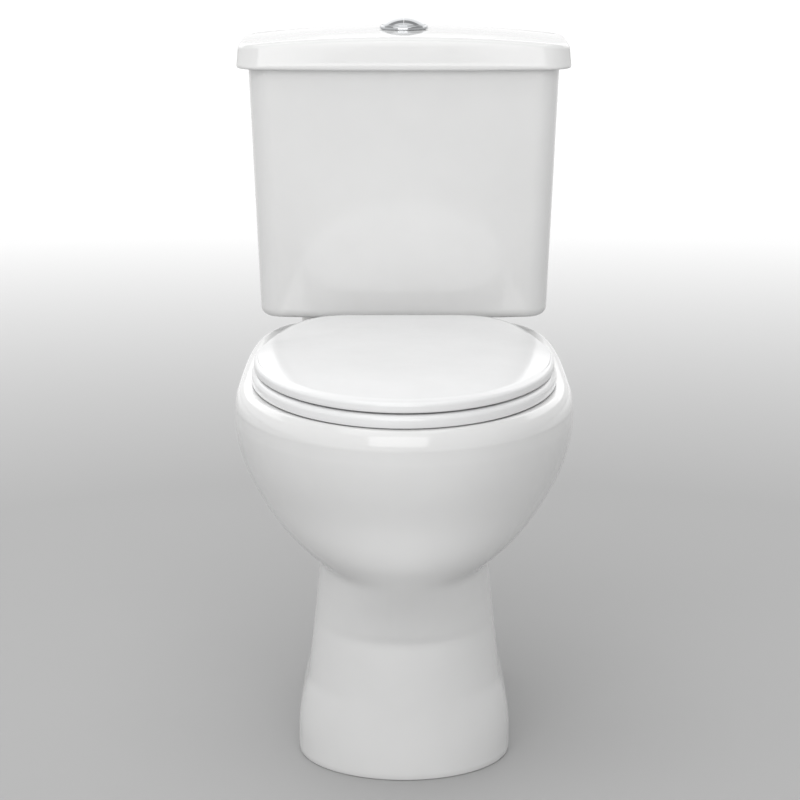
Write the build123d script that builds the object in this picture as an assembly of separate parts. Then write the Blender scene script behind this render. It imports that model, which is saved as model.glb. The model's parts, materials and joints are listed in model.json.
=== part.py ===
"""Close coupled toilet, as an assembly of separate pieces.

Millimetres, +Z up.  The front faces -Y, +X is to the right seen from the front.  The origin is on
the floor, under the middle of the whole toilet.  Depths are given as the distance behind the front
of the rim, and y_at() turns such a depth into Y.
"""
from build123d import *
import os
from math import cos, pi, radians, sin, sqrt

# ---- overall ----
OVERALL_DEPTH = 660.0
RIM_TOP = 400.0

# ---- pan: bowl and pedestal ----
BOWL_HALF_WIDTH = 185.5
BOWL_WIDEST_Z = 368.0
BOWL_SIDE_DROP = 165.0
BOWL_FRONT_DROP = 215.0
BOWL_FRONT_SWEEP = 250.0
BOWL_MIDDLE = 250.0
BOWL_BACK = 415.0
NECK_HALF_WIDTH = 91.0
NECK_Z = 215.0
NECK_BLEND = 50.0
PEDESTAL_SLOPE = 0.104
FOOT_FLARE_Z = 84.0
FOOT_FLARE_HEIGHT = 60.0
FOOT_HALF_WIDTH = 115.5
FOOT_FRONT = 73.0
FOOT_MIDDLE = 184.0
FOOT_BACK = 470.0
CHINA = 12.0
CAVITY_ROOF = 185.0
JOINT = 0.05

# ---- pan: rim slab and deck ----
SLAB_UNDER = 372.0
SLAB_HALF_WIDTH = 185.5
SLAB_FRONT = 0.4
DECK_BACK = 606.0
DECK_SQUARENESS = 5.5
DECK_TAPER = 0.07
RIM_EDGE = 8.0
OPENING_HALF_WIDTH = 122.0
OPENING_FRONT = 50.0
OPENING_MIDDLE = 215.0
OPENING_BACK = 365.0
LIP_UNDER = 352.0
LIP_WALL = 9.0

# ---- pan: water way ----
SUMP_FLOOR = 40.0
TRAP_RADIUS = 33.0
TRAP_WALL = 10.0
TRAP_Z = 73.0
OUTLET_Z = 190.0
OUTLET_RADIUS = 51.0
OUTLET_BORE = 42.0
OUTLET_END = 640.0
OUTLET_LENGTH = 70.0
DUCT_HALF_WIDTH = 48.0
DUCT_UNDER = 318.0
INLET_RADIUS = 36.0

# ---- pan: floor lugs ----
LUG_X = 95.0
LUG_DEPTH = 440.0
LUG_RADIUS = 17.0
LUG_HEIGHT = 14.0
LUG_HOLE = 4.5

# ---- seat and hinge ----
HINGE_X = 77.5
HINGE_DEPTH = 432.0
HINGE_Z = 424.0
POST_HALF = 7.0
EAR_WIDTH = 10.0
EAR_RADIUS = 7.0
EAR_GAP = 0.7
PIN_RADIUS = 3.0
PIN_FIT = 0.05
SEAT_MIDDLE = 255.0
SEAT_TAPER = 0.36
RING_UNDER = 402.0
RING_TOP = 415.0
RING_HALF_WIDTH = 167.0
RING_FRONT = 8.0
RING_BACK = 416.0
COVER_UNDER = 416.5
COVER_TOP = 436.0
COVER_HALF_WIDTH = 164.5
COVER_FRONT = 10.0
COVER_BACK = 449.0
SEAT_SKIN = 3.5

# ---- cistern ----
TANK_FLOOR_UNDER = 418.0
TANK_FLOOR = 428.0
TANK_TOP = 724.0
TANK_BACK = 660.0
TANK_BOTTOM_HALF_WIDTH = 170.5
TANK_TOP_HALF_WIDTH = 182.5
TANK_BOTTOM_FRONT = 512.0
TANK_TOP_FRONT = 492.0
TANK_BOW = 10.0
TANK_WALL = 9.0
TANK_CORNER = 28.0
BACK_CORNER = 12.0
WALL_HOLE_X = 100.0
WALL_HOLE_Z = 680.0

# ---- cistern lid ----
LID_UNDER = 716.0
LID_CROWN = 757.0
LID_HALF_WIDTH = 196.0
LID_TOP_HALF_WIDTH = 193.0
LID_FRONT = 482.0
LID_ARCH_RADIUS = 1500.0
LID_ROOF = 12.0
LID_FIT = 1.5
LID_REAR_GAP = 4.0

# ---- flush button and flush valve ----
VALVE_DEPTH = 565.0
BUTTON_Z = 757.0
BEZEL_RADIUS = 28.5
BEZEL_HEIGHT = 2.0
BUTTON_RADIUS = 25.5
DOME_TOP = 769.0
BUTTON_GAP = 0.5
ROD_X = 18.0
ROD_RADIUS = 3.0
PLUNGER_TOP = 700.0
PLUNGER_RADIUS = 3.2
OVERFLOW_RADIUS = 11.0
TOWER_TOP = 640.0

# ---- fill valve ----
FILL_X = -115.0
FILL_DEPTH = 625.0
FLOAT_DEPTH = 552.0
FLOAT_UNDER = 560.0
HEAD_UNDER = 650.0
INLET_PIPE_RADIUS = 10.3
INLET_END = 385.0
SHANK_RADIUS = 10.9
LEVER_Z = 662.0
LEVER_PIVOT_DEPTH = 604.0

# ---- coupling ----
COUPLING_X = 80.0


def y_at(depth):
    """Y of a point that lies this far behind the front of the rim."""
    return depth - OVERALL_DEPTH / 2


def at(x, depth, z):
    return Pos(x, y_at(depth), z)


def smooth_step(t):
    t = min(max(t, 0.0), 1.0)
    return t * t * (3 - 2 * t)


def blend_max(a, b, size):
    """The larger of two values, rounded over where they cross."""
    return (a + b + sqrt((a - b) ** 2 + size ** 2)) / 2


def egg(half_width, front, middle, back, square=2.5, taper=0.0, power=2.0, count=40):
    """Closed outline with an elliptical front and a squarer, tapering back."""
    points = []
    for i in range(count):
        angle = 2 * pi * i / count
        c = cos(angle)
        s = sin(angle)
        n = square if s > 0 else 2.0
        reach = back - middle if s > 0 else middle - front
        r = ((abs(c) / half_width) ** n + (abs(s) / reach) ** n) ** (-1 / n)
        along = max(r * s / reach, 0.0)
        points.append((r * c * (1 - taper * along ** power), y_at(middle + r * s)))
    return make_face(Spline(*points, periodic=True))


def raised(face, z):
    return Pos(0, 0, z) * face


def prism(face, z_low, z_high):
    return extrude(raised(face, z_low), z_high - z_low, dir=(0, 0, 1))


def cylinder(x, depth, z_low, z_high, radius):
    standing = (Align.CENTER, Align.CENTER, Align.MIN)
    return at(x, depth, z_low) * Cylinder(radius, z_high - z_low, align=standing)


def tube(x, depth, z_low, z_high, outer, inner):
    return cylinder(x, depth, z_low, z_high, outer) - cylinder(x, depth, z_low - 1, z_high + 1, inner)


def block(x_low, x_high, depth_low, depth_high, z_low, z_high):
    size = (x_high - x_low, depth_high - depth_low, z_high - z_low)
    middle = at((x_low + x_high) / 2, (depth_low + depth_high) / 2, (z_low + z_high) / 2)
    return middle * Box(*size)


def cross_pin(x_low, x_high, depth, z, radius):
    """A cylinder along X."""
    middle = at((x_low + x_high) / 2, depth, z)
    return middle * Rot(0, 90, 0) * Cylinder(radius, x_high - x_low)


def mirrored(shape):
    return mirror(shape, about=Plane.YZ)


# ---- pan ----

def body_half_width(z):
    drop = min((BOWL_WIDEST_Z - z) / BOWL_SIDE_DROP, 1.0)
    bowl = BOWL_HALF_WIDTH * sqrt(1 - drop ** 2)
    t = min(max((FOOT_FLARE_Z - z) / FOOT_FLARE_HEIGHT, 0.0), 1.0)
    straight = NECK_HALF_WIDTH + PEDESTAL_SLOPE * (NECK_Z - max(z, FOOT_FLARE_Z))
    foot = straight + (FOOT_HALF_WIDTH - straight) * t * (2 - t)
    return blend_max(bowl, foot, 9.0)


def body_front(z):
    drop = min((BOWL_WIDEST_Z - z) / BOWL_FRONT_DROP, 1.0)
    bowl = SLAB_FRONT + BOWL_FRONT_SWEEP * (1 - sqrt(1 - drop ** 2))
    foot = FOOT_FRONT + 0.06 * z
    return -blend_max(-bowl, -foot, NECK_BLEND * smooth_step((330 - z) / 90))


def body_section(z, inset=0.0):
    t = smooth_step((z - 190) / 110)
    middle = FOOT_MIDDLE + (BOWL_MIDDLE - FOOT_MIDDLE) * t
    back = FOOT_BACK - 60 * smooth_step((z - 150) / 150) + (BOWL_BACK - 410) * t
    square = 3.0 - 0.5 * t
    return egg(body_half_width(z) - inset, body_front(z) + inset, middle, back - inset, square)


def pan_body():
    heights = [0, 14, 27, 42, 58, 74, 90, 125, 165, 195, 210, 219]
    heights += [227, 235, 244, 256, 272, 292, 315, 335, 352, 368, 380]
    return loft([raised(body_section(z), z) for z in heights])


def slab_section(inset):
    front = SLAB_FRONT + inset
    return egg(SLAB_HALF_WIDTH - inset, front, BOWL_MIDDLE, DECK_BACK - inset, DECK_SQUARENESS, DECK_TAPER)


def rim_slab():
    """The flat top of the pan, with a rounded outer edge, running back into the deck."""
    sections = [raised(slab_section(0), SLAB_UNDER)]
    for step in range(5):
        angle = radians(90 * step / 4)
        inset = 2.4 + RIM_EDGE * (1 - cos(angle))
        sections.append(raised(slab_section(inset), RIM_TOP - RIM_EDGE + RIM_EDGE * sin(angle)))
    return loft(sections)


def bowl_section(z, grow):
    """Inside of the bowl: it follows the outside above the neck, and funnels down to the sump below."""
    drop = min((BOWL_WIDEST_Z - z) / BOWL_SIDE_DROP, 1.0)
    wide = BOWL_HALF_WIDTH * sqrt(1 - drop ** 2) - CHINA - 1
    rise = (z - SUMP_FLOOR) / 180
    half_width = blend_max(wide, 22 + 56 * rise ** 0.6, 9.0)
    drop = min((BOWL_WIDEST_Z - z) / BOWL_FRONT_DROP, 1.0)
    near = BOWL_FRONT_SWEEP * (1 - sqrt(1 - drop ** 2)) + CHINA + 1
    front = -blend_max(-near, -(248 - 153 * min(rise, 1.0) ** 0.8), 20.0)
    middle = 286 - 36 * smooth_step((z - 60) / 180)
    back = 403 - 81 * (1 - (z - SUMP_FLOOR) / 348) ** 2
    return egg(half_width + grow, front - grow, middle, back + grow, 2.4)


def bowl_space(grow=0.0):
    """The inside of the bowl, from the sump up to the underside of the rim."""
    heights = [40, 48, 60, 80, 105, 135, 165, 190, 208, 222, 236, 250, 268, 290, 312, 332, 352, 370, 388]
    sections = [raised(bowl_section(z, grow), z) for z in heights]
    sections[0] = raised(bowl_section(SUMP_FLOOR, grow), SUMP_FLOOR - grow)
    return loft(sections)


def rim_opening(grow=0.0):
    return egg(OPENING_HALF_WIDTH + grow, OPENING_FRONT - grow, OPENING_MIDDLE, OPENING_BACK + grow, 2.4)


def trap_path(end_depth):
    stations = ((300, TRAP_Z), (350, TRAP_Z), (420, OUTLET_Z), (end_depth, OUTLET_Z))
    corners = [(0, y_at(depth), z) for depth, z in stations]
    return FilletPolyline(*corners, radius=52)


def trap_pipe(radius, end_depth):
    start = Plane(origin=(0, y_at(300), TRAP_Z), z_dir=(0, 1, 0))
    return sweep(start * Circle(radius), path=trap_path(end_depth))


def along_depth(depth_low, depth_high, z, radius):
    middle = at(0, (depth_low + depth_high) / 2, z)
    return middle * Rot(90, 0, 0) * Cylinder(radius, depth_high - depth_low)


def trap_outside(grow=0.0):
    """The pipe from the sump to the outlet, with the wider spigot on its end."""
    spigot_start = OUTLET_END - OUTLET_LENGTH
    pipe = trap_pipe(TRAP_RADIUS + TRAP_WALL + grow, spigot_start + 10)
    return pipe + along_depth(spigot_start, OUTLET_END, OUTLET_Z, OUTLET_RADIUS + grow)


def between(z_low, z_high):
    """A block that is wider and deeper than the pan."""
    return block(-250, 250, -50, 700, z_low, z_high)


def duct_space():
    return block(-INLET_RADIUS, INLET_RADIUS, 390, 592, DUCT_UNDER + 12, SLAB_UNDER + 14)


def deck_holes():
    holes = cylinder(0, VALVE_DEPTH, DUCT_UNDER + 12, RIM_TOP + 5, INLET_RADIUS)
    for side in (-1, 1):
        holes += cylinder(side * HINGE_X, HINGE_DEPTH, SLAB_UNDER - 10, RIM_TOP + 5, 5.5)
        holes += cylinder(side * COUPLING_X, VALVE_DEPTH, SLAB_UNDER - 10, RIM_TOP + 5, 6.0)
    return holes


def pan_rim():
    """Rim with its inner lip, and the deck behind it, which is hollow over the bowl and the duct."""
    shape = rim_slab() - bowl_space() - duct_space()
    shape += prism(rim_opening(LIP_WALL), LIP_UNDER, RIM_TOP - 5)
    shape -= prism(rim_opening(), LIP_UNDER - 5, RIM_TOP + 5)
    return shape - deck_holes()


def pan_bowl():
    """Wall of the bowl down to the neck, with the water duct and its rib behind."""
    shape = pan_body() & between(CAVITY_ROOF, SLAB_UNDER)
    shape += block(-DUCT_HALF_WIDTH, DUCT_HALF_WIDTH, 380, 604, DUCT_UNDER, SLAB_UNDER)
    shape += block(-9, 9, 400, 560, OUTLET_Z + 20, DUCT_UNDER + 2)
    shape = shape - bowl_space() - duct_space()
    return shape - trap_outside(JOINT)


def pan_sump():
    """Funnel under the bowl, inside the foot."""
    shape = bowl_space(grow=10.0) & between(0, CAVITY_ROOF)
    return shape - bowl_space() - trap_outside(JOINT)


def pan_foot():
    """Hollow foot, open to the floor, with a lug on each side for a floor screw."""
    shape = pan_body() & between(-10, CAVITY_ROOF)
    for side in (-1, 1):
        shape += cylinder(side * LUG_X, LUG_DEPTH, 0, LUG_HEIGHT, LUG_RADIUS)
        inner = sorted((side * 55, side * LUG_X))
        rear = LUG_DEPTH + LUG_RADIUS - 4
        shape += block(inner[0], inner[1], LUG_DEPTH - LUG_RADIUS, rear, 0, LUG_HEIGHT)
    heights = [-5, 27, 58, 90, 135, CAVITY_ROOF + 5]
    shape -= loft([raised(body_section(max(z, 0), inset=CHINA), z) for z in heights])
    for side in (-1, 1):
        shape -= cylinder(side * LUG_X, LUG_DEPTH, -5, LUG_HEIGHT + 5, LUG_HOLE)
    return shape - trap_outside(JOINT)


def pan_trap():
    """Trap and outlet spigot, bored through."""
    shape = trap_outside() - bowl_space()
    shape -= trap_pipe(TRAP_RADIUS, OUTLET_END - 30)
    return shape - along_depth(OUTLET_END - OUTLET_LENGTH + 10, OUTLET_END + 5, OUTLET_Z, OUTLET_BORE)


# ---- cistern ----

def tank_outline(half_width, front, back, bow, corner, back_corner):
    """Rounded rectangle with a bowed front."""
    y_front = y_at(front)
    y_back = y_at(back)
    edges = [
        Line((-half_width, y_back), (half_width, y_back)),
        Line((half_width, y_back), (half_width, y_front)),
        ThreePointArc((half_width, y_front), (0, y_front - bow), (-half_width, y_front)),
        Line((-half_width, y_front), (-half_width, y_back)),
    ]
    face = make_face(edges)
    front_corners = face.vertices().filter_by(lambda v: v.Y < (y_front + y_back) / 2)
    face = fillet(front_corners, corner)
    if back_corner == 0:
        return face
    back_corners = face.vertices().filter_by(lambda v: v.Y > y_back - 1)
    return fillet(back_corners, back_corner)


def tank_at(z, inset, square_back=False):
    t = (z - TANK_FLOOR_UNDER) / (TANK_TOP - TANK_FLOOR_UNDER)
    half_width = TANK_BOTTOM_HALF_WIDTH + (TANK_TOP_HALF_WIDTH - TANK_BOTTOM_HALF_WIDTH) * t
    front = TANK_BOTTOM_FRONT + (TANK_TOP_FRONT - TANK_BOTTOM_FRONT) * t
    if square_back:
        return tank_outline(half_width, front, TANK_BACK + 1, TANK_BOW, TANK_CORNER, 0)
    back_corner = max(BACK_CORNER - inset, 4)
    corner = TANK_CORNER - inset
    return tank_outline(half_width - inset, front + inset, TANK_BACK - inset, TANK_BOW, corner, back_corner)


def tank_solid(z_low, z_high, inset, square_back=False):
    return loft([raised(tank_at(z, inset, square_back), z) for z in (z_low, z_high)], ruled=True)


def tank_outside():
    """Tapering box with a flat back, which goes against the wall."""
    shape = tank_solid(TANK_FLOOR_UNDER, TANK_TOP, 0, square_back=True)
    shape -= block(-250, 250, TANK_BACK, TANK_BACK + 20, TANK_FLOOR_UNDER - 5, TANK_TOP + 5)
    back_edges = shape.edges().filter_by(lambda e: e.center().Y > y_at(TANK_BACK) - 1 and e.length > 200)
    uprights = back_edges.filter_by(lambda e: abs(e.center().X) > 100 and abs(e.center().Z - 571) < 20)
    return fillet(uprights, BACK_CORNER)


def cistern():
    outside = tank_outside()
    bottom = outside.faces().sort_by(Axis.Z)[0]
    outside = fillet(bottom.edges(), 10)
    shape = outside - tank_solid(TANK_FLOOR, TANK_TOP + 5, TANK_WALL)
    shape -= cylinder(0, VALVE_DEPTH, TANK_FLOOR_UNDER - 5, TANK_FLOOR + 5, 31.0)
    shape -= cylinder(FILL_X, FILL_DEPTH, TANK_FLOOR_UNDER - 5, TANK_FLOOR + 5, 11.5)
    for side in (-1, 1):
        shape -= cylinder(side * COUPLING_X, VALVE_DEPTH, TANK_FLOOR_UNDER - 5, TANK_FLOOR + 5, 5.5)
        hole = at(side * WALL_HOLE_X, TANK_BACK, WALL_HOLE_Z) * Rot(90, 0, 0) * Cylinder(4.0, 60)
        shape -= hole
    return shape


# ---- cistern lid ----

def lid_profile(inset):
    """Cross-section along X: a shallow arch on straight sides."""
    half_width = LID_HALF_WIDTH + 10
    top = LID_CROWN - inset
    drop = LID_ARCH_RADIUS - sqrt(LID_ARCH_RADIUS ** 2 - half_width ** 2)
    edges = [
        Line((-half_width, LID_UNDER - 10), (half_width, LID_UNDER - 10)),
        Line((half_width, LID_UNDER - 10), (half_width, top - drop)),
        ThreePointArc((half_width, top - drop), (0, top), (-half_width, top - drop)),
        Line((-half_width, top - drop), (-half_width, LID_UNDER - 10)),
    ]
    return make_face(edges)


def arch(inset):
    behind = Plane(origin=(0, OVERALL_DEPTH / 2 + 10, 0), x_dir=(1, 0, 0), z_dir=(0, -1, 0))
    return extrude(behind * lid_profile(inset), 240, dir=(0, -1, 0))


def lid_outline(half_width, grow):
    return tank_outline(half_width, LID_FRONT - grow, OVERALL_DEPTH, TANK_BOW + 1, 32, 12)


def cistern_lid():
    outlines = [raised(lid_outline(LID_HALF_WIDTH, 0), LID_UNDER),
                raised(lid_outline(LID_TOP_HALF_WIDTH, -3), LID_CROWN + 5)]
    outside = loft(outlines, ruled=True)
    outside = outside & arch(0)
    top = outside.faces().sort_by(Axis.Z)[-1]
    outside = fillet(top.edges(), 8)
    rebate = prism(tank_at(TANK_TOP, -LID_FIT), LID_UNDER - 5, TANK_TOP)
    hollow = prism(tank_at(TANK_TOP, TANK_WALL + 3), TANK_TOP - 5, LID_CROWN + 5) & arch(LID_ROOF)
    open_rear = block(-200, 200, TANK_BACK - LID_REAR_GAP, TANK_BACK + 5, LID_UNDER - 5, TANK_TOP)
    shape = outside - rebate - hollow - open_rear
    return shape - cylinder(0, VALVE_DEPTH, LID_UNDER, LID_CROWN + 5, 26.0)


# ---- seat ----

def seat_outline(half_width, front, back, grow=0.0):
    return egg(half_width + grow, front - grow, SEAT_MIDDLE, back + grow, 8.0, SEAT_TAPER, 1.8, count=64)


def ring_hole(grow=0.0):
    return egg(108 + grow, 68 - grow, 215, 345 + grow, 2.3)


def seat_ring():
    outer = prism(seat_outline(RING_HALF_WIDTH, RING_FRONT, RING_BACK), RING_UNDER, RING_TOP)
    outer = fillet(outer.faces().sort_by(Axis.Z)[-1].edges(), 5)
    shape = outer - prism(ring_hole(), RING_UNDER - 5, RING_TOP + 5)
    top_edges = shape.edges().filter_by(lambda e: e.center().Z > RING_TOP - 0.01)
    inner_edge = top_edges.sort_by(lambda e: e.length)[0]
    shape = fillet(inner_edge, 4)
    inside = seat_outline(RING_HALF_WIDTH, RING_FRONT, RING_BACK, -SEAT_SKIN)
    pocket = prism(inside, RING_UNDER - 5, RING_TOP - 4)
    pocket -= prism(ring_hole(SEAT_SKIN), RING_UNDER - 6, RING_TOP)
    shape -= pocket
    return shape + ring_ears()


def ring_ears():
    """One ear on the outer side of each post."""
    inner = HINGE_X + POST_HALF + EAR_GAP
    outer = inner + EAR_WIDTH
    ear = cross_pin(inner, outer, HINGE_DEPTH, HINGE_Z, EAR_RADIUS)
    ear += block(inner, outer, RING_BACK - 16, HINGE_DEPTH, RING_TOP - 3.5, HINGE_Z)
    ear -= cross_pin(inner - 1, outer + 1, HINGE_DEPTH, HINGE_Z, PIN_RADIUS + PIN_FIT)
    return ear + mirrored(ear)


def seat_cover():
    sections = [raised(seat_outline(COVER_HALF_WIDTH, COVER_FRONT, COVER_BACK, -0.6), COVER_UNDER)]
    rounding = 9.5
    for step in range(5):
        angle = radians(90 * step / 4)
        inset = rounding * (1 - cos(angle))
        z = COVER_TOP - rounding + rounding * sin(angle)
        sections.append(raised(seat_outline(COVER_HALF_WIDTH, COVER_FRONT, COVER_BACK, -inset), z))
    shape = loft(sections)
    inside = seat_outline(COVER_HALF_WIDTH, COVER_FRONT, COVER_BACK, -5.5)
    pocket = prism(inside, COVER_UNDER - 5, COVER_TOP - 3)
    shape -= pocket
    for side in (-1, 1):
        low, high = sorted((side * 56, side * 99))
        shape -= block(low, high, HINGE_DEPTH - 8, COVER_BACK + 5, COVER_UNDER - 5, COVER_TOP - 3)
    return shape + cover_ears()


def cover_ears():
    """One ear on the inner side of each post."""
    outer = HINGE_X - POST_HALF - EAR_GAP
    inner = outer - EAR_WIDTH
    ear = cross_pin(inner, outer, HINGE_DEPTH, HINGE_Z, EAR_RADIUS)
    ear += block(inner, outer, HINGE_DEPTH - 6, HINGE_DEPTH + 6, HINGE_Z, COVER_TOP - 2)
    ear -= cross_pin(inner - 1, outer + 1, HINGE_DEPTH, HINGE_Z, PIN_RADIUS + PIN_FIT)
    return ear + mirrored(ear)


def hinge_posts():
    """Foot on the deck, stem, and a knuckle around the pin."""
    low = HINGE_X - POST_HALF
    high = HINGE_X + POST_HALF
    post = cylinder(HINGE_X, HINGE_DEPTH, RIM_TOP, RIM_TOP + 4, 15)
    post += block(low, high, HINGE_DEPTH - 7, HINGE_DEPTH + 7, RIM_TOP + 2, HINGE_Z)
    post += cross_pin(low, high, HINGE_DEPTH, HINGE_Z, 7.5)
    post -= cross_pin(low - 1, high + 1, HINGE_DEPTH, HINGE_Z, PIN_RADIUS + 0.01)
    post -= cylinder(HINGE_X, HINGE_DEPTH, RIM_TOP - 5, RIM_TOP + 14, 3.01)
    return post + mirrored(post)


def hinge_pins():
    reach = POST_HALF + EAR_GAP + EAR_WIDTH + 0.5
    pin = cross_pin(HINGE_X - reach, HINGE_X + reach, HINGE_DEPTH, HINGE_Z, PIN_RADIUS)
    return pin + mirrored(pin)


def hinge_bolts():
    bolt = cylinder(HINGE_X, HINGE_DEPTH, SLAB_UNDER - 24, RIM_TOP + 14, 3.0)
    return bolt + mirrored(bolt)


def hinge_washers():
    washer = tube(HINGE_X, HINGE_DEPTH, SLAB_UNDER - 3, SLAB_UNDER, 11, 3.1)
    return washer + mirrored(washer)


def wing_nut(x, depth, z_top, bore):
    nut = cylinder(x, depth, z_top - 9, z_top, 7.5)
    nut += block(x - 15, x + 15, depth - 1.5, depth + 1.5, z_top - 15, z_top - 3)
    return nut - cylinder(x, depth, z_top - 20, z_top + 1, bore)


def hinge_nuts():
    nut = wing_nut(HINGE_X, HINGE_DEPTH, SLAB_UNDER - 3, 3.01)
    return nut + mirrored(nut)


def seat_bumpers():
    """Rubber pads between the ring and the rim."""
    pads = cylinder(138, 175, RIM_TOP, RING_TOP - 4, 7)
    pads += cylinder(126, 335, RIM_TOP, RING_TOP - 4, 7)
    return pads + mirrored(pads)


def cover_bumpers():
    """Rubber pads between the cover and the ring."""
    pads = cylinder(126, 165, RING_TOP, COVER_TOP - 3, 6)
    pads += cylinder(108, 340, RING_TOP, COVER_TOP - 3, 6)
    return pads + mirrored(pads)


# ---- flush button, on the lid ----

def button_bezel():
    ring = cylinder(0, VALVE_DEPTH, BUTTON_Z, BUTTON_Z + BEZEL_HEIGHT, BEZEL_RADIUS)
    edge = ring.faces().sort_by(Axis.Z)[-1].edges()
    ring = fillet(edge, 0.9)
    sleeve = cylinder(0, VALVE_DEPTH, BUTTON_Z - 38, BUTTON_Z + 1, 25.95)
    bezel = ring + sleeve - cylinder(0, VALVE_DEPTH, BUTTON_Z - 34, BUTTON_Z + 10, BUTTON_RADIUS + 0.35)
    for side in (-1, 1):
        bezel -= cylinder(side * ROD_X, VALVE_DEPTH, BUTTON_Z - 45, BUTTON_Z, 5.0)
    return bezel


def button_nut():
    return tube(0, VALVE_DEPTH, LID_CROWN - LID_ROOF - 10, LID_CROWN - LID_ROOF - 0.5, 34, 26.0)


def button_half(side):
    """One half of the dome with its short skirt; the stem is a separate rod."""
    height = DOME_TOP - BUTTON_Z - 2
    dome_radius = (BUTTON_RADIUS ** 2 + height ** 2) / (2 * height)
    ball = at(0, VALVE_DEPTH, DOME_TOP - dome_radius) * Sphere(dome_radius)
    body = cylinder(0, VALVE_DEPTH, BUTTON_Z - 8, DOME_TOP + 1, BUTTON_RADIUS) & ball
    inner, outer = side * BUTTON_GAP, side * 40
    low, high = min(inner, outer), max(inner, outer)
    half = body & block(low, high, VALVE_DEPTH - 40, VALVE_DEPTH + 40, BUTTON_Z - 30, DOME_TOP + 5)
    return half


def push_rod(side):
    """Stem under a button half, ending just above its plunger."""
    return cylinder(side * ROD_X, VALVE_DEPTH, PLUNGER_TOP + 0.5, BUTTON_Z - 8, ROD_RADIUS)


def button_spring(side):
    """Coil spring between the sleeve floor and a button half, around the rod."""
    coil = Helix(pitch=5.2, height=24.6, radius=5.6)
    profile = Plane(origin=coil @ 0, z_dir=coil % 0) * Circle(0.5)
    return at(side * ROD_X, VALVE_DEPTH, BUTTON_Z - 33.3) * sweep(profile, path=coil, is_frenet=True)


# ---- flush valve, in the cistern ----

def valve_base():
    """Threaded tail, flange, valve seat and the cage that carries the tower."""
    base = cylinder(0, VALVE_DEPTH, TANK_FLOOR_UNDER - 34, TANK_FLOOR + 2, 29.5)
    base += cylinder(0, VALVE_DEPTH, TANK_FLOOR + 2, TANK_FLOOR + 7, 42)
    base += cylinder(0, VALVE_DEPTH, TANK_FLOOR + 7, TANK_FLOOR + 10, 29)
    base += tube(0, VALVE_DEPTH, TANK_FLOOR + 42, TANK_FLOOR + 48, 40, 33)
    for quarter in range(4):
        angle = pi / 4 + quarter * pi / 2
        x, depth = 36.5 * cos(angle), VALVE_DEPTH + 36.5 * sin(angle)
        base += cylinder(x, depth, TANK_FLOOR + 6, TANK_FLOOR + 43, 3.2)
    return base - cylinder(0, VALVE_DEPTH, TANK_FLOOR_UNDER - 40, TANK_FLOOR + 20, 25)


def valve_tower():
    """Tube on the cage, with a cap that guides the overflow tube and the plungers."""
    low = TANK_FLOOR + 48
    tower = cylinder(0, VALVE_DEPTH, low, TOWER_TOP, 34)
    tower -= cylinder(0, VALVE_DEPTH, low - 5, TOWER_TOP - 4, 31)
    tower += tube(0, VALVE_DEPTH, low, low + 6, 39, 32)
    tower -= cylinder(0, VALVE_DEPTH, TOWER_TOP - 10, TOWER_TOP + 5, OVERFLOW_RADIUS + 0.6)
    for side in (-1, 1):
        tower -= cylinder(side * ROD_X, VALVE_DEPTH, TOWER_TOP - 10, TOWER_TOP + 5, PLUNGER_RADIUS + 0.5)
    return tower - block(-40, 40, VALVE_DEPTH - 9, VALVE_DEPTH + 9, low + 40, low + 90)


def overflow_tube():
    """Open tube with the hub that holds the flush seal."""
    low = TANK_FLOOR + 6
    shape = cylinder(0, VALVE_DEPTH, low, TOWER_TOP + 15, OVERFLOW_RADIUS)
    shape += cylinder(0, VALVE_DEPTH, low, TANK_FLOOR + 10, 15)
    shape += cylinder(0, VALVE_DEPTH, TANK_FLOOR + 14, TANK_FLOOR + 18, 25)
    return shape - cylinder(0, VALVE_DEPTH, low - 5, TOWER_TOP + 20, OVERFLOW_RADIUS - 2)


def flush_seal():
    return tube(0, VALVE_DEPTH, TANK_FLOOR + 10, TANK_FLOOR + 14, 27.5, OVERFLOW_RADIUS + 0.02)


def plunger(side):
    """Rod through the tower cap, with a flat head under the push rod."""
    rod = cylinder(side * ROD_X, VALVE_DEPTH, TOWER_TOP - 20, PLUNGER_TOP, PLUNGER_RADIUS)
    return rod + cylinder(side * ROD_X, VALVE_DEPTH, PLUNGER_TOP - 3, PLUNGER_TOP, 6)


def valve_seal_washer():
    return tube(0, VALVE_DEPTH, TANK_FLOOR, TANK_FLOOR + 2, 41, 29.6)


def valve_nut():
    nut = cylinder(0, VALVE_DEPTH, TANK_FLOOR_UNDER - 12, TANK_FLOOR_UNDER, 39)
    return nut - cylinder(0, VALVE_DEPTH, TANK_FLOOR_UNDER - 20, TANK_FLOOR_UNDER + 5, 29.55)


def doughnut_seal():
    return tube(0, VALVE_DEPTH, RIM_TOP, TANK_FLOOR_UNDER, 53, 39.5)


# ---- coupling of cistern to pan ----

def coupling_bolts():
    head = TANK_FLOOR + 3
    bolt = cylinder(COUPLING_X, VALVE_DEPTH, head, head + 5, 9)
    bolt += cylinder(COUPLING_X, VALVE_DEPTH, SLAB_UNDER - 22, head + 1, 4)
    return bolt + mirrored(bolt)


def coupling_rubbers():
    """Soft washers under the bolt heads, inside the cistern."""
    washer = tube(COUPLING_X, VALVE_DEPTH, TANK_FLOOR, TANK_FLOOR + 3, 13, 4.05)
    return washer + mirrored(washer)


def coupling_washers():
    """Steel washers under the deck."""
    washer = tube(COUPLING_X, VALVE_DEPTH, SLAB_UNDER - 2, SLAB_UNDER, 11, 4.3)
    return washer + mirrored(washer)


def coupling_wing_nuts():
    nut = wing_nut(COUPLING_X, VALVE_DEPTH, SLAB_UNDER - 2, 4.01)
    return nut + mirrored(nut)


# ---- fill valve, in the cistern ----

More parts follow.
